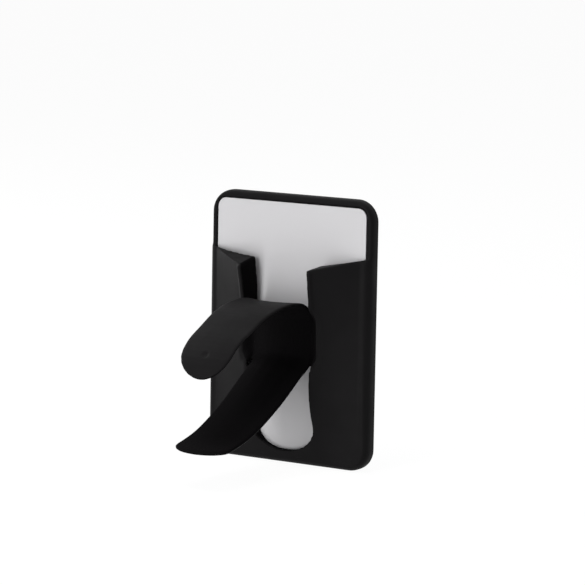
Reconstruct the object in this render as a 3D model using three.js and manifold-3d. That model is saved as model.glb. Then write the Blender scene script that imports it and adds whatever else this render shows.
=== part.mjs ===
// Phone card holder: a soft silicone pocket that sticks to the back of a phone, with a snap strap
// moulded across its front, a steel spring strip inside that strap, an adhesive pad and a card.
// Millimetres. +X is right, +Z is up and the front faces -Y. The origin is the centre of the
// adhesive face, so a point's height above the phone is -Y and is called h in this file.
import * as THREE from 'three';
import Module from 'manifold-3d';
import { mergeVertices } from 'three/addons/utils/BufferGeometryUtils.js';

const wasm = await Module();
wasm.setup();

// Body outline and walls
const bodyWidth = 62.8;
const bodyHeight = 91;
const bodyCorner = 7.5;
const backThickness = 3.5;
const rimHeight = 5.0;
const rimRoundAcross = 0.9;
const rimRoundDeep = 2.2;
const shoulderRound = 3.2;
const shoulderFoot = 3.4;
const shoulderRise = 3.4;
const shoulderTop = 6.6;
const shoulderFall = 0.4;
const wall = 2.1;

// Adhesive pad
const padWidth = 54;
const padHeight = 80;
const padThickness = 0.5;
const padCorner = 5;

// Card and the pocket that takes it
const cardWidth = 57.8;
const cardHeight = 85.6;
const cardThickness = 0.8;
const cardCorner = 3.2;
const cardClearance = 0.3;

// Pocket mouth, thumb notch and lower hole in the front wall
const mouthOuterZ = 26.6;
const mouthInnerZ = 22.2;
const mouthCorner = 1.7;
const mouthFlare = 0.4;
const mouthRise = 1.2;
const notchHalfTop = 12.7;
const notchHalfFoot = 12.5;
const notchFootZ = 8.6;
const notchCorner = 3.6;
const holeHalfTop = 12.0;
const holeHalfWaist = 11.6;
const holeHalfFoot = 12.5;
const holeTopZ = -10.9;
const holeWideZ = -31.5;
const holeFootZ = -42;
const holeCorner = 1.5;
const holeWaistShare = 0.45;
const holeFootRise = 3.4;
const holeFootFlat = 6.5;
const cutLean = 0.5;
const holeLip = 1.2;
const holeLipLength = 10;

// Height of the tented front wall's inner edges along the body
const ridgeAtMouth = 16.6;
const ridgeAtNotchFoot = 13.9;
const ridgeAtHoleTop = 12.4;
const ridgeAtHoleMiddle = 10.8;
const ridgeAtHoleFoot = 6.8;

// Snap strap: a ribbon bent outward into an upper arm that arches and a lower one that droops
const strapWidth = 22.8;
const upperTaper = 4.0;
const lowerTaper = 2.2;
const upperReach = 59.8;
const upperDrop = 9.4;
const archHeight = 25;
const archTopZ = 10.9;
const lowerReach = 62.6;
const lowerDrop = 32.9;
const strapEdge = 1.2;
const strapMiddle = 2.1;
const rootHeight = 7.3;
const rootTopZ = 3.2;
const rootFootZ = -6.2;
const rootDipHalf = 11.4;
const rootDipReach = 4.2;
const rootDipLength = 10.5;
const rootBlend = 1.2;
const rootFaceDrop = 0.16;
const rootSag = 1.7;
const rootSagLength = 44;
const upperTipRound = 9.5;
const lowerTipRound = 6.0;
const tipEndShare = 0.05;

// Spring strip inside the strap, and the pin mark that opens its slot to the outside
const stripWidth = 12;
const stripThickness = 0.3;
const stripClearance = 0.3;
const stripEndInset = 7;
const pinMark = 2.4;
const pinMarkInset = 8.2;
const pinLength = 4;

const backFace = padThickness;
const floorHeight = backFace + backThickness;
const pocketWidth = cardWidth + 2 * cardClearance;
const pocketHeight = cardHeight + 2 * cardClearance;
const slotReach = 40;
const cutterFront = 20;
const spare = 1;
const steepestSlope = 0.8;
const rimSteps = 5;
const shoulderSteps = 6;
const slopeFoot = bodyWidth / 2 - shoulderRound;
const dipEnd = rootDipHalf + rootDipReach;

// Solids from meshes, and back
function solidOf(geometry) {
  const bare = geometry.clone();
  bare.deleteAttribute('normal');
  bare.deleteAttribute('uv');
  const merged = mergeVertices(bare, 1e-5);
  return new wasm.Manifold(new wasm.Mesh({
    numProp: 3,
    vertProperties: new Float32Array(merged.attributes.position.array),
    triVerts: new Uint32Array(merged.index.array),
  }));
}

function geometryOf(solid) {
  const mesh = solid.getMesh();
  const geometry = new THREE.BufferGeometry();
  geometry.setAttribute('position', new THREE.BufferAttribute(mesh.vertProperties, 3));
  geometry.setIndex(new THREE.BufferAttribute(mesh.triVerts, 1));
  geometry.computeVertexNormals();
  return geometry;
}

// Outline with rounded corners, centred on x = 0 and z = centreZ
function roundedOutline(width, height, corner, centreZ = 0) {
  const right = width / 2;
  const top = centreZ + height / 2;
  const foot = centreZ - height / 2;
  const outline = new THREE.Shape();
  outline.moveTo(-right + corner, foot);
  outline.absarc(right - corner, foot + corner, corner, -Math.PI / 2, 0);
  outline.absarc(right - corner, top - corner, corner, 0, Math.PI / 2);
  outline.absarc(-right + corner, top - corner, corner, Math.PI / 2, Math.PI);
  outline.absarc(-right + corner, foot + corner, corner, Math.PI, Math.PI * 1.5);
  return outline;
}

// Slab of an outline in the x-z plane, from height hBack to height hFront
function slab(outline, hBack, hFront, curveSegments = 8) {
  const geometry = new THREE.ExtrudeGeometry(outline, {
    depth: hFront - hBack, bevelEnabled: false, curveSegments,
  });
  return geometry.translate(0, 0, hBack).rotateX(Math.PI / 2);
}

// Closed loft through rings that have the same number of points
function loft(rings) {
  const count = rings[0].length;
  const positions = rings.flat().flatMap((point) => point.toArray());
  const faces = [];
  for (let i = 0; i + 1 < rings.length; i += 1) {
    for (let j = 0; j < count; j += 1) {
      const a = i * count + j;
      const b = i * count + (j + 1) % count;
      faces.push(a, b, b + count, a, b + count, a + count);
    }
  }
  const last = (rings.length - 1) * count;
  for (let j = 1; j + 1 < count; j += 1) {
    faces.push(0, j + 1, j, last, last + j, last + j + 1);
  }
  const geometry = new THREE.BufferGeometry();
  geometry.setAttribute('position', new THREE.Float32BufferAttribute(positions, 3));
  geometry.setIndex(faces);
  return geometry;
}

function smooth(value, from, to) {
  const t = THREE.MathUtils.clamp((value - from) / (to - from), 0, 1);
  return t * t * (3 - 2 * t);
}

// Height of the ridge beside the slot, along the body
const ridge = new THREE.SplineCurve([
  new THREE.Vector2(-bodyHeight / 2 + 1, shoulderTop - shoulderFall),
  new THREE.Vector2(holeFootZ, ridgeAtHoleFoot),
  new THREE.Vector2((holeFootZ + holeTopZ) / 2, ridgeAtHoleMiddle),
  new THREE.Vector2(holeTopZ, ridgeAtHoleTop),
  new THREE.Vector2(notchFootZ, ridgeAtNotchFoot),
  new THREE.Vector2(mouthInnerZ, ridgeAtMouth),
  new THREE.Vector2(mouthOuterZ, ridgeAtMouth + mouthRise),
]).getSpacedPoints(90);

function ridgeHeight(z) {
  const next = ridge.findIndex((point) => point.x >= z);
  if (next === 0) return ridge[0].y;
  if (next < 0) return ridge[ridge.length - 1].y;
  const low = ridge[next - 1];
  const high = ridge[next];
  return THREE.MathUtils.mapLinear(z, low.x, high.x, low.y, high.y);
}

// Front wall's outer face: a flat band at each side, two slopes and a dip at the strap's root
function frontHeight(x, z) {
  const sideTop = shoulderTop - shoulderFall * smooth(-z, 0, bodyHeight / 2);
  const slope = THREE.MathUtils.clamp((slopeFoot - Math.abs(x)) / (slopeFoot - notchHalfFoot), 0, 1);
  const tent = sideTop + (ridgeHeight(z) - sideTop) * slope;
  const rootMiddle = (rootTopZ + rootFootZ) / 2;
  const across = 1 - smooth(Math.abs(x), rootDipHalf, dipEnd);
  const hidden = 1 - smooth(Math.abs(x), rootDipHalf, rootDipHalf + rootBlend);
  const dipLength = rootDipLength + hidden * rootDipLength;
  const along = 1 - smooth(Math.abs(z - rootMiddle), (rootTopZ - rootFootZ) / 2, dipLength);
  const rootFace = rootHeight + strapEdge / 2 - rootFaceDrop;
  return tent - Math.max(tent - rootFace, 0) * across * along;
}

// Front wall's inner face, one wall below the outer one measured square to the slope
function pocketHeightAt(x, z) {
  const step = 0.5;
  const slopeX = (frontHeight(x + step, z) - frontHeight(x - step, z)) / (2 * step);
  const steep = Math.min(Math.abs(slopeX), steepestSlope);
  const lowest = floorHeight + cardThickness + cardClearance;
  return Math.max(frontHeight(x, z) - wall * Math.hypot(1, steep), lowest);
}

// Grid lines from -end to end: steps of given sizes between stops that run out from the middle
function gridLines(stops) {
  const lines = [];
  stops.forEach(([to, step], i) => {
    const from = i === 0 ? 0 : stops[i - 1][0];
    const count = Math.ceil((to - from) / step);
    for (let k = 1; k <= count; k += 1) lines.push(from + (to - from) * k / count);
  });
  return [...lines.map((value) => -value).reverse(), 0, ...lines];
}

// Solid between height hBack and a face given by heightAt(x, z)
function solidUnder(xLines, zLines, hBack, heightAt) {
  const columns = xLines.length;
  const rings = zLines.map((z) => [
    ...xLines.map((x) => new THREE.Vector3(x, -heightAt(x, z), z)),
    new THREE.Vector3(xLines[columns - 1], -hBack, z),
    new THREE.Vector3(xLines[0], -hBack, z),
  ]);
  return solidOf(loft(rings));
}

// The body's outline at height h, drawn in by inset
function bodyRing(inset, h) {
  const outline = roundedOutline(bodyWidth - 2 * inset, bodyHeight - 2 * inset, bodyCorner - inset);
  return outline.getPoints(8).map((point) => new THREE.Vector3(point.x, -h, point.y));
}

// Back panel, and above the pocket's mouth a rim whose front edge is rounded
function makePan() {
  const rings = [bodyRing(0, backFace)];
  for (let i = 0; i <= rimSteps; i += 1) {
    const turn = Math.PI / 2 * i / rimSteps;
    const inset = rimRoundAcross * (1 - Math.cos(turn));
    rings.push(bodyRing(inset, rimHeight - rimRoundDeep * (1 - Math.sin(turn))));
  }
  return solidOf(loft(rings)).subtract(belowMouth(rimHeight - rimRoundDeep, wall));
}

// Everything in front of height hBack and below a line that lies drop under the pocket's mouth
function belowMouth(hBack, drop) {
  const halfWidth = bodyWidth / 2 + spare;
  const rise = (mouthOuterZ - mouthInnerZ) / (bodyWidth / 2 - notchHalfTop);
  const region = new THREE.Shape();
  region.moveTo(-halfWidth, mouthOuterZ + rise);
  region.lineTo(0, mouthInnerZ - rise * notchHalfTop);
  region.lineTo(halfWidth, mouthOuterZ + rise);
  region.lineTo(halfWidth, -bodyHeight);
  region.lineTo(-halfWidth, -bodyHeight);
  return solidOf(slab(region, hBack, slotReach)).translate([0, 0, -drop]);
}

// Prism over the body's outline whose side rounds in at the front wall's shoulder
function makeShoulder() {
  const rings = [bodyRing(0, backFace)];
  for (let i = 0; i <= shoulderSteps; i += 1) {
    const turn = Math.PI / 2 * i / shoulderSteps;
    const inset = shoulderRound * (1 - Math.cos(turn));
    rings.push(bodyRing(inset, shoulderFoot + shoulderRise * Math.sin(turn)));
  }
  rings.push(bodyRing(shoulderRound + 0.2, slotReach));
  return solidOf(loft(rings));
}

// Front wall before its cuts: a hood over the whole outline, up to the pocket's mouth
function makeHood() {
  const side = bodyWidth / 2 + spare;
  const end = bodyHeight / 2 + spare;
  const xLines = gridLines([[rootDipHalf - spare, 3.5], [dipEnd, 0.7], [slopeFoot, 2.5], [side, 5]]);
  const zLines = gridLines([[rootDipLength + 1.5, 1.2], [end, 3.2]]);
  const hood = solidUnder(xLines, zLines, backFace + spare, frontHeight);
  return hood.intersect(makeShoulder()).intersect(belowMouth(0, 0));
}

// Space of the pocket under the front wall, within the window that takes the card
function makePocket(window) {
  const side = pocketWidth / 2 + spare;
  const end = pocketHeight / 2 + spare;
  const xLines = gridLines([[rootDipHalf - spare, 3.5], [dipEnd, 1.2], [side - 5, 2.6], [side, 1.1]]);
  const zLines = gridLines([[rootDipLength, 2.0], [end - 6, 3.4], [end, 1.2]]);
  return solidUnder(xLines, zLines, floorHeight - spare / 2, pocketHeightAt).intersect(window);
}

// A cut through the front wall whose sides lean out toward the back, square to the wall's slopes,
// and whose foot, below footZ, rises toward the back
function leaningCut(outline, hBack, hFront, footZ) {
  const points = outline.getPoints(7).slice(0, -1);
  const ring = (h) => points.map((point) => {
    const depth = ridgeHeight(point.y) - h;
    const lean = Math.sign(point.x) * cutLean * depth;
    const lip = holeLip / wall * Math.max(depth, 0) * smooth(footZ - point.y, 0, holeLipLength);
    return new THREE.Vector3(point.x + lean, -h, point.y + lip);
  });
  return solidOf(loft([ring(hBack), ring(hFront)]));
}

function makeNotch() {
  const outline = new THREE.Shape();
  const half = notchHalfFoot;
  const flare = notchHalfTop + mouthCorner;
  const flareZ = mouthInnerZ + mouthCorner * (mouthOuterZ - mouthInnerZ) / (bodyWidth / 2 - notchHalfTop);
  outline.moveTo(-flare, bodyHeight / 2);
  outline.lineTo(-flare, flareZ + mouthFlare);
  outline.quadraticCurveTo(-notchHalfTop, mouthInnerZ, -notchHalfTop, mouthInnerZ - mouthCorner);
  outline.lineTo(-half, notchFootZ + notchCorner);
  outline.quadraticCurveTo(-half, notchFootZ, -half + notchCorner, notchFootZ);
  outline.lineTo(half - notchCorner, notchFootZ);
  outline.quadraticCurveTo(half, notchFootZ, half, notchFootZ + notchCorner);
  outline.lineTo(notchHalfTop, mouthInnerZ - mouthCorner);
  outline.quadraticCurveTo(notchHalfTop, mouthInnerZ, flare, flareZ + mouthFlare);
  outline.lineTo(flare, bodyHeight / 2);
  outline.closePath();
  return leaningCut(outline, floorHeight + cardThickness / 2, cutterFront, -bodyHeight);
}

function makeHole() {
  const outline = new THREE.Shape();
  const waistZ = holeTopZ + (holeWideZ - holeTopZ) * holeWaistShare;
  const round = holeCorner;
  outline.moveTo(holeHalfTop - round, holeTopZ);
  outline.lineTo(-holeHalfTop + round, holeTopZ);
  outline.quadraticCurveTo(-holeHalfTop, holeTopZ, -holeHalfTop, holeTopZ - round);
  outline.quadraticCurveTo(-holeHalfWaist, waistZ, -holeHalfFoot, holeWideZ);
  outline.bezierCurveTo(-holeHalfFoot, holeFootZ + holeFootRise, -holeFootFlat, holeFootZ, 0, holeFootZ);
  outline.bezierCurveTo(holeFootFlat, holeFootZ, holeHalfFoot, holeFootZ + holeFootRise, holeHalfFoot, holeWideZ);
  outline.quadraticCurveTo(holeHalfWaist, waistZ, holeHalfTop, holeTopZ - round);
  outline.quadraticCurveTo(holeHalfTop, holeTopZ, holeHalfTop - round, holeTopZ);
  return leaningCut(outline, floorHeight + cardThickness / 2, cutterFront, holeWideZ);
}

// The strap's middle line from the upper tip to the lower one, as (height, z)
const strapPoint = (h, z) => new THREE.Vector2(h, z);
const strapLine = new THREE.SplineCurve([
  strapPoint(upperReach, -upperDrop),
  strapPoint(upperReach - 2.6, -upperDrop * 0.4),
  strapPoint(upperReach - 8.2, archTopZ * 0.13),
  strapPoint(archHeight * 1.76, archTopZ * 0.46),
  strapPoint(archHeight * 1.42, archTopZ * 0.8),
  strapPoint(archHeight, archTopZ),
  strapPoint(archHeight * 0.58, archTopZ * 0.98),
  strapPoint(rootHeight + 1.5, rootTopZ + 4.2),
  strapPoint(rootHeight, rootTopZ),
  strapPoint(rootHeight, rootFootZ),
  strapPoint(rootHeight + 2.3, rootFootZ - 4.4),
  strapPoint(lowerReach * 0.264, -lowerDrop * 0.45),
  strapPoint(lowerReach * 0.47, -lowerDrop * 0.684),
  strapPoint(lowerReach * 0.693, -lowerDrop * 0.878),
  strapPoint(lowerReach * 0.875, -lowerDrop * 0.97),
  strapPoint(lowerReach, -lowerDrop),
]);
const strapLength = strapLine.getLength();
const rootAt = strapLength * 0.5;

// Half width of a ribbon with round ends, at a distance from its first end
function ribbonHalf(at, from, to, half, rounds) {
  const upper = Math.min((at - from) / rounds[0], 1);
  const lower = Math.min((to - at) / rounds[1], 1);
  const short = 1 - Math.min(upper, lower);
  const taper = at < rootAt ? upperTaper : lowerTaper;
  const slim = half - taper / 2 * Math.abs(at - rootAt) / rootAt;
  return slim * Math.sqrt(Math.max(1 - short ** 2, tipEndShare ** 2));
}

// Section of a ribbon: half-round edges and slightly crowned faces, as (across, thick)
function ribbonSection(half, full, edge, middle) {
  const round = Math.min(edge / 2, half / 2);
  const faces = [-0.8, -0.45, 0, 0.45, 0.8];
  const crown = (x) => edge / 2 + (middle - edge) / 2 * (half ** 2 - x ** 2) / full ** 2;
  const upper = faces.map((share) => [share * (half - round), crown(share * half)]);
  const arc = [-90, -45, 0, 45, 90].map((degrees) => {
    const angle = THREE.MathUtils.degToRad(degrees);
    return [half - round + round * Math.cos(angle), edge / 2 * Math.sin(angle)];
  });
  const lower = upper.map(([x, y]) => [x, -y]);
  return [...lower, ...arc, ...upper.reverse(), ...arc.map(([x, y]) => [-x, -y])];
}

// Places of a ribbon's sections, at even turns round its ends and in even steps between them
function ribbonStations(from, to, step, rounds) {
  const turns = 6;
  const ends = Array.from({ length: turns }, (_, i) => 1 - Math.cos(Math.PI / 2 * i / turns));
  const start = from + rounds[0];
  const length = to - rounds[1] - start;
  const count = Math.ceil(length / step);
  const middle = Array.from({ length: count + 1 }, (_, i) => start + length * i / count);
  return [
    ...ends.map((share) => from + rounds[0] * share),
    ...middle,
    ...ends.map((share) => to - rounds[1] * share).reverse(),
  ];
}

// A ribbon swept along the strap's middle line between two distances
function ribbon(from, to, step, half, edge, middle, rounds) {
  const rings = [];
  for (const at of ribbonStations(from, to, step, rounds)) {
    const u = at / strapLength;
    const place = strapLine.getPointAt(u);
    const along = strapLine.getTangentAt(u);
    const out = new THREE.Vector2(-along.y, along.x);
    const sag = rootSag * (1 - smooth(Math.abs(at - rootAt), 0, rootSagLength));
    const width = ribbonHalf(at, from, to, half, rounds);
    rings.push(ribbonSection(width, half, edge, middle).map(([x, thick]) => {
      const bow = sag * (1 - (2 * x / strapWidth) ** 2);
      const h = place.x + out.x * (thick + bow);
      return new THREE.Vector3(x, -h, place.y + out.y * (thick + bow));
    }));
  }
  return solidOf(loft(rings));
}

function makeStrap() {
  const rounds = [upperTipRound, lowerTipRound];
  return ribbon(0, strapLength, 2.2, strapWidth / 2, strapEdge, strapMiddle, rounds);
}

function makeStripSpace() {
  const half = stripWidth / 2 + stripClearance;
  const thick = stripThickness + 2 * stripClearance;
  const inset = stripEndInset - stripClearance;
  return ribbon(inset, strapLength - inset, 4, half, thick, thick, [half, half]);
}

function makeStrip() {
  const half = stripWidth / 2;
  return ribbon(stripEndInset, strapLength - stripEndInset, 4, half,
    stripThickness, stripThickness, [half, half]);
}

// Round mark of the moulding pin, from the strip's slot out through the upper arm's top face
function makePinMark() {
  const u = pinMarkInset / strapLength;
  const place = strapLine.getPointAt(u);
  const along = strapLine.getTangentAt(u);
  const pin = new THREE.CylinderGeometry(pinMark / 2, pinMark / 2, pinLength, 16);
  const axis = new THREE.Vector3(0, along.y, along.x).normalize();
  if (axis.z < 0) axis.negate();
  pin.applyQuaternion(new THREE.Quaternion().setFromUnitVectors(new THREE.Vector3(0, 1, 0), axis));
  pin.translate(0, -place.x + axis.y * pinLength / 2, place.y + axis.z * pinLength / 2);
  return solidOf(pin);
}

function makeBody() {
  const outline = roundedOutline(pocketWidth, pocketHeight, cardCorner + cardClearance);
  const window = solidOf(slab(outline, floorHeight, slotReach));
  const front = makeHood().subtract(makePocket(window)).subtract(makeNotch()).subtract(makeHole());
  const open = makePan().subtract(window).add(front);
  return open.add(makeStrap()).subtract(makeStripSpace()).subtract(makePinMark());
}

function part(name, geometry, color, roughness, metalness) {
  const material = new THREE.MeshStandardMaterial({ color, roughness, metalness });
  const mesh = new THREE.Mesh(geometry, material);
  mesh.name = name;
  return mesh;
}

const padOutline = roundedOutline(padWidth, padHeight, padCorner);
const cardOutline = roundedOutline(cardWidth, cardHeight, cardCorner);

const group = new THREE.Group();
group.add(
  part('silicone_body', geometryOf(makeBody()), 0x242324, 0.62, 0),
  part('spring_strip', geometryOf(makeStrip()), 0xb9bcbf, 0.3, 1),
  part('adhesive_pad', slab(padOutline, 0, padThickness), 0x3a3a3c, 0.8, 0),
  part('card', slab(cardOutline, floorHeight, floorHeight + cardThickness), 0xe9e8e9, 0.45, 0),
);

export default group;
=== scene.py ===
"""Looks of the phone card holder: moulded silicone pocket and snap strap, PVC card and adhesive tape.

Metres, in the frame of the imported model: +X is right, +Z is up, the front faces -Y and the
origin is the centre of the adhesive face.
"""

import math

import bmesh
import bpy
from mathutils import Matrix, Vector
from mathutils.geometry import interpolate_bezier


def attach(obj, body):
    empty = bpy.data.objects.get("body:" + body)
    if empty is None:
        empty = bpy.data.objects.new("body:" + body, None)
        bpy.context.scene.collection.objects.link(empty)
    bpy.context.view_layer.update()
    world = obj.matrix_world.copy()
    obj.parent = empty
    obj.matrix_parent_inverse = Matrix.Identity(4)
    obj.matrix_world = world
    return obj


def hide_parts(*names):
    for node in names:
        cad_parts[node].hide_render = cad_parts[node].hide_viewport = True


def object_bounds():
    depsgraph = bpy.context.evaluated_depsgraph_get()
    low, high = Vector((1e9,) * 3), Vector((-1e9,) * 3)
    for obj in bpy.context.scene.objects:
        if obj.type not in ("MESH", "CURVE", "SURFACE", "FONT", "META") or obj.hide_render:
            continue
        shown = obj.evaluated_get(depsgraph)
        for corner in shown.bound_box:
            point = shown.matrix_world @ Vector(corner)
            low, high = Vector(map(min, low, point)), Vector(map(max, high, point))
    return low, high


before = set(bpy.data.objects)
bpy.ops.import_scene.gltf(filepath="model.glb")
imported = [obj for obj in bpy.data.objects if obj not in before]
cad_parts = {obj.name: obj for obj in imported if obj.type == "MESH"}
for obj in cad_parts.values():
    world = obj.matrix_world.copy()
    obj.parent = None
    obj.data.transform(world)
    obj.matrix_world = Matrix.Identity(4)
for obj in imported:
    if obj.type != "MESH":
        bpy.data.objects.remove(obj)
cad_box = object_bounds()

MM = 0.001
MERGE_DISTANCE = 0.001 * MM

# Camera
PICTURE_WIDTH_PX = 585
FOCAL_PX = 2966.5
SENSOR_MM = 36
VIEW_AZIMUTH = 31.185
VIEW_ELEVATION = 8.19
VIEW_ROLL = 1.019
VIEW_DISTANCE = 999.2 * MM
VIEW_TARGET = Vector((-1.89, 0, 11.88)) * MM
VIEW_END = 100

# Light: where each soft box is seen from the holder in degrees, its distance and size, and its watts
FRONT_STRIP = {"azimuth": -10, "elevation": 2, "distance": 1.15, "width": 0.24, "height": 1.7, "power": 10.2}
LEFT_STRIP = {"azimuth": -95, "elevation": 12, "distance": 1.0, "width": 0.3, "height": 0.9, "power": 5}
TOP_BOX = {"azimuth": -15, "elevation": 75, "distance": 1.1, "width": 0.6, "height": 0.6, "power": 5}
AMBIENT = 0.1
TABLE_HALF = 20
TABLE_GLOW = 1.065
TABLE_GLOW_SHARE = 0.9

# Surface textures, as the real distance between two grains, cells or lines
SPARK_GRAIN = 0.385 * MM
HANDLING_BLOOM = 14.3 * MM
# bump grain of the painted-shade material
PAINTED_SHADE_GRAIN = 0.3125 * MM
PRESS_GRAIN = 1.11 * MM
TAPE_FILLER = 0.714 * MM
ROLLING_LINES = 0.25 * MM
ROLLING_LENGTH = 6.67 * MM
SILICONE_IOR = 1.41

# Silicone skin: even small faces, smoothed more on the thick walls than on the strap
REMESH_VOXEL = 0.3 * MM
WALL_SMOOTHING = 9
STRAP_SMOOTHING = 5
STRAP_START = 17 * MM
SLOT_FILL = 0.36 * MM
MOST_FACES = 190000

# Front wall: height of its inner edge at places along the body, and its slope to the side, in mm
RIDGE = ((-42, 6.8), (-26.5, 10.8), (-10.9, 12.4), (8.6, 13.9), (22.2, 16.6))
SIDE_TOP = 6.6
SLOPE_FOOT = 28.2
SLOPE_TOP = 12.5

# Returns: walls that drop from the slot's edges to just over the card, in mm
RETURN_THICKNESS = 1.5
RETURN_INSET = 0.3
RETURN_CLEARANCE = 0.15

# Thumb notch: x, z, depth and rise of its return, from foot to mouth, at the left
NOTCH_EDGE = (
    (12.5, 8.9, 9.5, 0),
    (12.55, 13, 9.5, 0.2),
    (12.6, 17, 9.8, 0.8),
    (12.75, 21.6, 10.2, 1.8),
)

# Pocket mouth: its line from the notch to the side, and its lip, which rises less at the right
MOUTH_LINE = ((12.8, 22.2), (31.4, 26.6))
MOUTH_SHARES = (0, 0.25, 0.5, 0.75, 0.95)
MOUTH_DEPTH = 9.6
MOUTH_RISE = {-1: 1.9, 1: 0.7}

# Lower hole: its side down to its widest place, and the curve round its foot
HOLE_LIP = 1.3
HOLE_WIDE_Z = -31.5
HOLE_SIDE = ((12.0, -12.4), (11.75, -17), (11.75, -22), (12.1, -27))
HOLE_FOOT = ((12.5, HOLE_WIDE_Z), (12.5, -38.6), (6.5, -42), (0, -42))
HOLE_FOOT_POINTS = 10

# Where the cut walls are, which get painted shade
SLOT_HALF = 13.3 * MM
SLOT_SPAN = (-43.5 * MM, 25 * MM)
CUT_WALL_TURN = 0.55

# Where the strap gets painted shade: at its root, and on the arms' sides that face each other, above and
# below the middle between them
ROOT_DIP = 0.8
ROOT_REACH = 14.4 * MM
ROOT_SPAN = 13 * MM
ROOT_FACING = -0.3
STRAP_HALF = 11.5 * MM
STRAP_BACK = 7.4 * MM
STRAP_FRONT = 8.4 * MM
STRAP_ROOT_Z = -1.5 * MM
STRAP_FALL = 0.36
ARCH_FOOT_Z = 6 * MM
ARCH_FACING = -0.4
UPPER_ARM_TURN = -0.25
LOWER_ARM_TURN = 0.05
LOWER_ROOT_FACING = -0.5

# Edges of the flat pieces
CARD_EDGE = 0.12 * MM
PAD_EDGE = 0.08 * MM
EDGE_SEGMENTS = 2
SHARP_EDGE = 60

card_front = -min(vert.co.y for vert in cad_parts["card"].data.vertices)


def linear(code):
    """Turns an sRGB hex colour into linear RGBA."""
    channels = [int(code[i:i + 2], 16) / 255 for i in (1, 3, 5)]
    return [c / 12.92 if c <= 0.04045 else ((c + 0.055) / 1.055) ** 2.4 for c in channels] + [1]


def add_node(tree, kind, links=None, **settings):
    """Adds a node, sets its properties and sockets, and links outputs into its inputs."""
    node = tree.nodes.new(kind)
    for name, value in settings.items():
        if name in node.inputs:
            node.inputs[name].default_value = value
        else:
            setattr(node, name, value)
    for socket, source in (links or {}).items():
        tree.links.new(source, node.inputs[socket])
    return node


def new_material(name):
    """Makes a material with an empty node tree."""
    material = bpy.data.materials.new(name)
    material.use_nodes = True
    material.node_tree.nodes.clear()
    return material, material.node_tree


def moulded_silicone():
    """Black liquid silicone rubber, moulded against a spark-eroded tool: matte, with a fine grain.

    Real spark grain is too fine to show, so it is drawn about ten times as coarse.
    """
    material, tree = new_material("moulded_silicone")
    place = add_node(tree, "ShaderNodeTexCoord").outputs["Object"]
    grain = add_node(tree, "ShaderNodeTexNoise", {"Vector": place}, Scale=1 / SPARK_GRAIN, Detail=2)
    bloom = add_node(tree, "ShaderNodeTexNoise", {"Vector": place}, Scale=1 / HANDLING_BLOOM, Detail=3)
    tone = add_node(tree, "ShaderNodeMapRange", {"Value": bloom.outputs["Fac"]})
    tone.inputs["From Min"].default_value = 0.35
    tone.inputs["From Max"].default_value = 0.65
    tone.inputs["To Min"].default_value = 0.56
    tone.inputs["To Max"].default_value = 0.66
    relief = {"Height": grain.outputs["Fac"]}
    bump = add_node(tree, "ShaderNodeBump", relief, Strength=0.12, Distance=0.05 * MM)
    shader = add_node(
        tree, "ShaderNodeBsdfPrincipled",
        {"Roughness": tone.outputs["Result"], "Normal": bump.outputs["Normal"]},
    )
    shader.inputs["Base Color"].default_value = linear("#100f10")
    shader.inputs["IOR"].default_value = SILICONE_IOR
    shader.inputs["Specular IOR Level"].default_value = 0.1
    add_node(tree, "ShaderNodeOutputMaterial", {"Surface": shader.outputs["BSDF"]})
    return material


def painted_shade_silicone():
    """Painted shade on the strap's root, the arms' facing sides and the cut walls: a deeper, even black with
    almost no reflection, over a fine bump grain.
    """
    material, tree = new_material("painted_shade_silicone")
    place = add_node(tree, "ShaderNodeTexCoord").outputs["Object"]
    grain = add_node(tree, "ShaderNodeTexNoise", {"Vector": place}, Scale=1 / PAINTED_SHADE_GRAIN, Detail=2)
    relief = {"Height": grain.outputs["Fac"]}
    bump = add_node(tree, "ShaderNodeBump", relief, Strength=0.1, Distance=0.03 * MM)
    shader = add_node(tree, "ShaderNodeBsdfPrincipled", {"Normal": bump.outputs["Normal"]})
    # painted shade: a dark base and almost no specular stand in for the shade in recesses and between the
    # arms
    shader.inputs["Base Color"].default_value = linear("#131213")
    shader.inputs["Roughness"].default_value = 0.8
    shader.inputs["IOR"].default_value = SILICONE_IOR
    shader.inputs["Specular IOR Level"].default_value = 0.01
    add_node(tree, "ShaderNodeOutputMaterial", {"Surface": shader.outputs["BSDF"]})
    return material


def laminated_pvc():
    """White PVC card stock with a satin laminate: faintly uneven gloss over a cool white core."""
    material, tree = new_material("laminated_pvc")
    place = add_node(tree, "ShaderNodeTexCoord").outputs["Object"]
    press = add_node(tree, "ShaderNodeTexNoise", {"Vector": place}, Scale=1 / PRESS_GRAIN, Detail=2)
    relief = {"Height": press.outputs["Fac"]}
    bump = add_node(tree, "ShaderNodeBump", relief, Strength=0.04, Distance=0.02 * MM)
    shader = add_node(tree, "ShaderNodeBsdfPrincipled", {"Normal": bump.outputs["Normal"]})
    shader.inputs["Base Color"].default_value = linear("#cfced0")
    shader.inputs["Roughness"].default_value = 0.42
    shader.inputs["IOR"].default_value = 1.53
    add_node(tree, "ShaderNodeOutputMaterial", {"Surface": shader.outputs["BSDF"]})
    return material


def acrylic_tape():
    """Grey acrylic adhesive tape: dull, with fine filler that shows as a softly pitted face."""
    material, tree = new_material("acrylic_tape")
    place = add_node(tree, "ShaderNodeTexCoord").outputs["Object"]
    cells = add_node(tree, "ShaderNodeTexVoronoi", {"Vector": place}, Scale=1 / TAPE_FILLER)
    shade = add_node(tree, "ShaderNodeMix", {"Factor": cells.outputs["Distance"]}, data_type="RGBA")
    shade.inputs["A"].default_value = linear("#3d3d40")
    shade.inputs["B"].default_value = linear("#4a4a4d")
    relief = {"Height": cells.outputs["Distance"]}
    bump = add_node(tree, "ShaderNodeBump", relief, Strength=0.3, Distance=0.1 * MM)
    shader = add_node(
        tree, "ShaderNodeBsdfPrincipled",
        {"Base Color": shade.outputs["Result"], "Normal": bump.outputs["Normal"]},
    )
    shader.inputs["Roughness"].default_value = 0.85
    add_node(tree, "ShaderNodeOutputMaterial", {"Surface": shader.outputs["BSDF"]})
    return material


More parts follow.
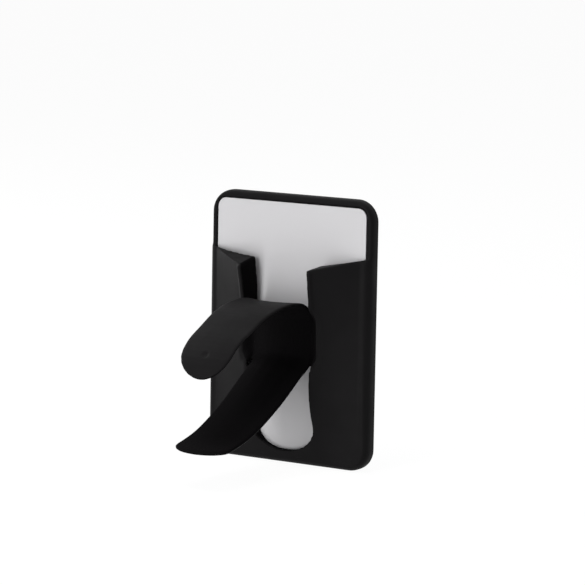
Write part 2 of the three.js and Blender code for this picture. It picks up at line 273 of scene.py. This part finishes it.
def rolled_spring_steel():
    """Tempered spring steel strip: fine rolling lines along its length give a long soft glint."""
    material, tree = new_material("rolled_spring_steel")
    place = add_node(tree, "ShaderNodeTexCoord").outputs["Object"]
    across, along = 1 / ROLLING_LINES, 1 / ROLLING_LENGTH
    stretch = add_node(tree, "ShaderNodeMapping", {"Vector": place}, Scale=(across, along, along))
    lines = add_node(tree, "ShaderNodeTexNoise", {"Vector": stretch.outputs["Vector"]}, Scale=1, Detail=2)
    relief = {"Height": lines.outputs["Fac"]}
    bump = add_node(tree, "ShaderNodeBump", relief, Strength=0.2, Distance=0.02 * MM)
    shader = add_node(tree, "ShaderNodeBsdfPrincipled", {"Normal": bump.outputs["Normal"]})
    shader.inputs["Base Color"].default_value = linear("#b9bcbf")
    shader.inputs["Metallic"].default_value = 1
    shader.inputs["Roughness"].default_value = 0.32
    add_node(tree, "ShaderNodeOutputMaterial", {"Surface": shader.outputs["BSDF"]})
    return material


def merged_copy(node):
    """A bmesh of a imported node's mesh, with its loose triangles joined."""
    shape = bmesh.new()
    shape.from_mesh(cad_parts[node].data)
    bmesh.ops.remove_doubles(shape, verts=shape.verts, dist=MERGE_DISTANCE)
    return shape


def new_piece(name, shape, material, body, node):
    """Makes an object of a bmesh that stands for a node, and gives it its finish."""
    mesh = bpy.data.meshes.new(name)
    shape.to_mesh(mesh)
    shape.free()
    piece = bpy.data.objects.new(name, mesh)
    bpy.context.scene.collection.objects.link(piece)
    mesh.materials.append(material)
    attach(piece, body)
    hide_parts(node)
    return piece


def bake_modifiers(piece):
    """Applies a piece's modifiers to its mesh."""
    bpy.context.view_layer.update()
    final = bpy.data.meshes.new_from_object(piece.evaluated_get(bpy.context.evaluated_depsgraph_get()))
    piece.modifiers.clear()
    piece.data = final


def ridge_height(z):
    """Height of the front wall's inner edge above the phone, at a place along the body."""
    for (low, from_height), (high, to_height) in zip(RIDGE, RIDGE[1:]):
        if z <= high:
            return from_height + (to_height - from_height) * max(z - low, 0) / (high - low)
    return RIDGE[-1][1]


def tent_height(x, z):
    """Height of the sloping front wall above the phone."""
    slope = min(max((SLOPE_FOOT - abs(x)) / (SLOPE_FOOT - SLOPE_TOP), 0), 1)
    return SIDE_TOP + (ridge_height(z) - SIDE_TOP) * slope


def add_return(shape, path, side, away):
    """Adds a thin wall between the front and back points of a path, thickened away from the slot."""
    last = len(path) - 1
    half = 0.5
    verts = bmesh.ops.create_grid(shape, x_segments=last, y_segments=1, size=half)["verts"]
    for vert in verts:
        front, back = path[round((vert.co.x + half) * last)]
        x, z, height = front if vert.co.y > 0 else back
        vert.co = (side * x * MM, -height * MM, z * MM)
    faces = list({face for vert in verts for face in vert.link_faces})
    bmesh.ops.recalc_face_normals(shape, faces=faces)
    toward = faces[0].normal.dot(away)
    bmesh.ops.solidify(shape, geom=faces, thickness=math.copysign(RETURN_THICKNESS * MM, -toward))


def notch_return(side):
    """Front and back points down one side of the thumb notch."""
    lowest = card_front / MM + RETURN_CLEARANCE
    path = []
    for x, z, depth, rise in NOTCH_EDGE:
        height = ridge_height(z) - RETURN_INSET
        lift = rise * MOUTH_RISE[side] / MOUTH_RISE[-1]
        path.append(((x, z, height), (x, z + lift, max(height - depth, lowest))))
    return path


def mouth_return(side):
    """Front and back points of the lip along one side of the pocket's mouth, which fades outward."""
    (inner_x, inner_z), (outer_x, outer_z) = MOUTH_LINE
    path = []
    for share in MOUTH_SHARES:
        x = inner_x + (outer_x - inner_x) * share
        z = inner_z + (outer_z - inner_z) * share
        height = tent_height(x, z) - RETURN_INSET
        fade = 1 - share
        back = (x, z + MOUTH_RISE[side] * fade, height - MOUTH_DEPTH * fade ** 2)
        path.append(((x, z, height), back))
    return path


def hole_return():
    """Front and back points from the strap's root down one side of the lower hole to its foot."""
    foot = interpolate_bezier(*[Vector((x, z, 0)) for x, z in HOLE_FOOT], HOLE_FOOT_POINTS)
    lowest = card_front / MM + RETURN_CLEARANCE
    path = []
    for x, z in (*HOLE_SIDE, *[point.to_2d() for point in foot]):
        inward = Vector((-x, max(HOLE_WIDE_Z - z, 0))).normalized() * HOLE_LIP
        path.append(((x, z, ridge_height(z) - RETURN_INSET), (x + inward.x, z + inward.y, lowest)))
    return path


def add_returns(shape):
    """Returns at both sides of the thumb notch, round the lower hole and along the mouth's edges."""
    for side in (-1, 1):
        add_return(shape, notch_return(side), side, Vector((side, 0, 0)))
        add_return(shape, hole_return(), side, Vector((side, 0, 0)))
        add_return(shape, mouth_return(side), side, Vector((0, 0, -1)))


def silicone_shape():
    """The moulding with its returns, and with its spring strip's slot closed."""
    shape = merged_copy("silicone_body")
    filler = merged_copy("spring_strip")
    filler.normal_update()
    for vert in filler.verts:
        vert.co += vert.normal * SLOT_FILL
    extra = bpy.data.meshes.new("slot_filler")
    filler.to_mesh(extra)
    filler.free()
    shape.from_mesh(extra)
    bpy.data.meshes.remove(extra)
    add_returns(shape)
    return shape


def soften(piece):
    """Rounds the cut edges and takes the voxel steps out of the skin, less on the thin strap."""
    shape = bmesh.new()
    shape.from_mesh(piece.data)
    arms = [vert for vert in shape.verts if -vert.co.y > STRAP_START]
    walls = [vert for vert in shape.verts if -vert.co.y <= STRAP_START]
    for group, rounds in ((walls, WALL_SMOOTHING), (arms, STRAP_SMOOTHING)):
        for _ in range(rounds):
            bmesh.ops.smooth_vert(
                shape, verts=group, factor=0.5, use_axis_x=True, use_axis_y=True, use_axis_z=True)
    for face in shape.faces:
        face.smooth = True
    shape.to_mesh(piece.data)
    shape.free()


def on_cut_wall(place, normal):
    """Whether a face is on a cut wall of the notch or the hole."""
    if abs(place.x) > SLOT_HALF or not SLOT_SPAN[0] < place.z < SLOT_SPAN[1]:
        return False
    return abs(normal.y) <= CUT_WALL_TURN and card_front < -place.y < under_tent(place)


def under_tent(place):
    """Height below which a place is sunk under the front wall's slopes."""
    return (tent_height(place.x / MM, place.z / MM) - ROOT_DIP) * MM


def on_root(place, normal):
    """Whether a face is on the strap's root, where the front wall dips to meet it."""
    near = abs(place.x) < ROOT_REACH and abs(place.z - STRAP_ROOT_Z) < ROOT_SPAN
    return near and normal.y < ROOT_FACING and STRAP_BACK < -place.y < under_tent(place)


def on_arm(place, normal):
    """Whether a face is on the side of an arm that is turned toward the other arm."""
    height = -place.y
    if abs(place.x) > STRAP_HALF or height < STRAP_FRONT:
        return False
    if place.z > STRAP_ROOT_Z - STRAP_FALL * (height - STRAP_FRONT):
        under_arch = height < STRAP_START and place.z < ARCH_FOOT_Z and normal.y < ARCH_FACING
        return normal.z < UPPER_ARM_TURN or under_arch
    return normal.z > LOWER_ARM_TURN or normal.y < LOWER_ROOT_FACING


def is_painted_shade(face):
    """Whether a face gets the painted shade of the strap's root, the arms' facing sides and the cut walls.
    """
    place, normal = face.calc_center_median(), face.normal
    return on_cut_wall(place, normal) or on_root(place, normal) or on_arm(place, normal)


def paint_recess_shade(piece, material):
    """Paints shade on the strap's root, the arms' facing sides and the cut walls as a darker second
    material.
    """
    piece.data.materials.append(material)
    shape = bmesh.new()
    shape.from_mesh(piece.data)
    for face in shape.faces:
        # faces in the shade between the arms, at the strap's root and on the cut walls get the painted-shade
        # material
        face.material_index = int(is_painted_shade(face))
    shape.to_mesh(piece.data)
    shape.free()


def make_silicone(material):
    """The silicone moulding: one smooth skin over the solids, the returns and the closed slot."""
    shape = silicone_shape()
    piece = new_piece("moulded_pocket_and_strap", shape, material, "root", "silicone_body")
    remesh = piece.modifiers.new("skin", "REMESH")
    remesh.mode = "VOXEL"
    remesh.voxel_size = REMESH_VOXEL
    bake_modifiers(piece)
    soften(piece)
    triangles = sum(len(face.vertices) - 2 for face in piece.data.polygons)
    if triangles > MOST_FACES:
        thin = piece.modifiers.new("thin", "DECIMATE")
        thin.ratio = MOST_FACES / triangles
        bake_modifiers(piece)
    # darker material painted where shade falls on the strap and the cut walls
    paint_recess_shade(piece, painted_shade_silicone())


def make_flat(name, node, edge, material):
    """A flat piece with its sharp rims taken off."""
    shape = merged_copy(node)
    shape.normal_update()
    sharp = math.radians(SHARP_EDGE)
    rims = [rim for rim in shape.edges if rim.is_manifold and rim.calc_face_angle() > sharp]
    bmesh.ops.bevel(
        shape, geom=rims, offset=edge, offset_type="OFFSET", segments=EDGE_SEGMENTS, profile=0.5,
        affect="EDGES", material=-1)
    return new_piece(name, shape, material, "root", node)


def make_camera():
    """Camera that sees the holder from its right and a little above, as the photo does."""
    azimuth = math.radians(VIEW_AZIMUTH)
    elevation = math.radians(VIEW_ELEVATION)
    back = Vector((
        math.sin(azimuth) * math.cos(elevation),
        -math.cos(azimuth) * math.cos(elevation),
        math.sin(elevation),
    ))
    level = Vector((math.cos(azimuth), math.sin(azimuth), 0))
    right = Matrix.Rotation(math.radians(VIEW_ROLL), 3, back) @ level
    up = back.cross(right)
    camera = bpy.data.cameras.new("camera")
    camera.sensor_width = SENSOR_MM
    camera.lens = FOCAL_PX * SENSOR_MM / PICTURE_WIDTH_PX
    camera.clip_end = VIEW_END
    holder = bpy.data.objects.new("camera", camera)
    bpy.context.scene.collection.objects.link(holder)
    turn = Matrix((right, up, back)).transposed().to_4x4()
    holder.matrix_world = Matrix.Translation(VIEW_TARGET + back * VIEW_DISTANCE) @ turn
    bpy.context.scene.camera = holder


def shown_to_eye(tree):
    """1 for what the camera, a reflection or clear material sees, and 0 for the light itself."""
    path = add_node(tree, "ShaderNodeLightPath")
    camera, glossy = path.outputs["Is Camera Ray"], path.outputs["Is Glossy Ray"]
    seen = add_node(tree, "ShaderNodeMath", {0: camera, 1: glossy})
    seen.operation = "MAXIMUM"
    clear = add_node(tree, "ShaderNodeMath", {0: seen.outputs[0], 1: path.outputs["Is Transmission Ray"]})
    clear.operation = "MAXIMUM"
    return clear.outputs[0]


def make_world():
    """White to the eye, and a faint even light on the holder."""
    world = bpy.data.worlds.new("studio")
    bpy.context.scene.world = world
    world.use_nodes = True
    tree = world.node_tree
    tree.nodes.clear()
    light = add_node(tree, "ShaderNodeBackground", Color=linear("#f4f4f6"), Strength=AMBIENT)
    white = add_node(tree, "ShaderNodeBackground", Color=(1, 1, 1, 1), Strength=1)
    parts = {0: shown_to_eye(tree), 1: light.outputs[0], 2: white.outputs[0]}
    both = add_node(tree, "ShaderNodeMixShader", parts)
    add_node(tree, "ShaderNodeOutputWorld", {"Surface": both.outputs[0]})


def make_floor():
    """Pale shooting table under the holder's lower edge, which the front strip shines through."""
    shape = bmesh.new()
    bmesh.ops.create_grid(shape, x_segments=2, y_segments=2, size=TABLE_HALF)
    bmesh.ops.translate(shape, verts=shape.verts, vec=(0, 0, cad_box[0][2]))
    mesh = bpy.data.meshes.new("floor")
    shape.to_mesh(mesh)
    shape.free()
    material, tree = new_material("painted_studio_floor")
    paint = add_node(tree, "ShaderNodeBsdfDiffuse", Color=linear("#f2f2f2"))
    white = add_node(tree, "ShaderNodeEmission", Color=(1, 1, 1, 1), Strength=TABLE_GLOW)
    share = add_node(tree, "ShaderNodeMath", {0: shown_to_eye(tree)})
    share.operation = "MULTIPLY"
    share.inputs[1].default_value = TABLE_GLOW_SHARE
    parts = {0: share.outputs[0], 1: paint.outputs[0], 2: white.outputs[0]}
    both = add_node(tree, "ShaderNodeMixShader", parts)
    add_node(tree, "ShaderNodeOutputMaterial", {"Surface": both.outputs[0]})
    mesh.materials.append(material)
    floor = bpy.data.objects.new("floor", mesh)
    bpy.context.scene.collection.objects.link(floor)
    floor.visible_shadow = False


def make_lamp(name, azimuth, elevation, distance, width, height, power):
    """A soft box that faces the holder's middle, placed by the direction it is seen in."""
    lamp = bpy.data.lights.new(name, "AREA")
    lamp.shape = "RECTANGLE"
    lamp.size = width
    lamp.size_y = height
    lamp.energy = power
    holder = bpy.data.objects.new(name, lamp)
    bpy.context.scene.collection.objects.link(holder)
    turn, rise = math.radians(azimuth), math.radians(elevation)
    away = Vector((math.sin(turn) * math.cos(rise), -math.cos(turn) * math.cos(rise), math.sin(rise)))
    facing = (-away).to_track_quat("-Z", "Y").to_matrix().to_4x4()
    holder.matrix_world = Matrix.Translation(away * distance) @ facing


make_camera()
make_world()
make_floor()
make_lamp("front_strip", **FRONT_STRIP)
make_lamp("left_strip", **LEFT_STRIP)
make_lamp("top_box", **TOP_BOX)

make_silicone(moulded_silicone())
make_flat("pocket_card", "card", CARD_EDGE, laminated_pvc())
make_flat("adhesive_tape", "adhesive_pad", PAD_EDGE, acrylic_tape())
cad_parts["spring_strip"].material_slots[0].material = rolled_spring_steel()

bpy.context.scene.view_settings.view_transform = "Standard"
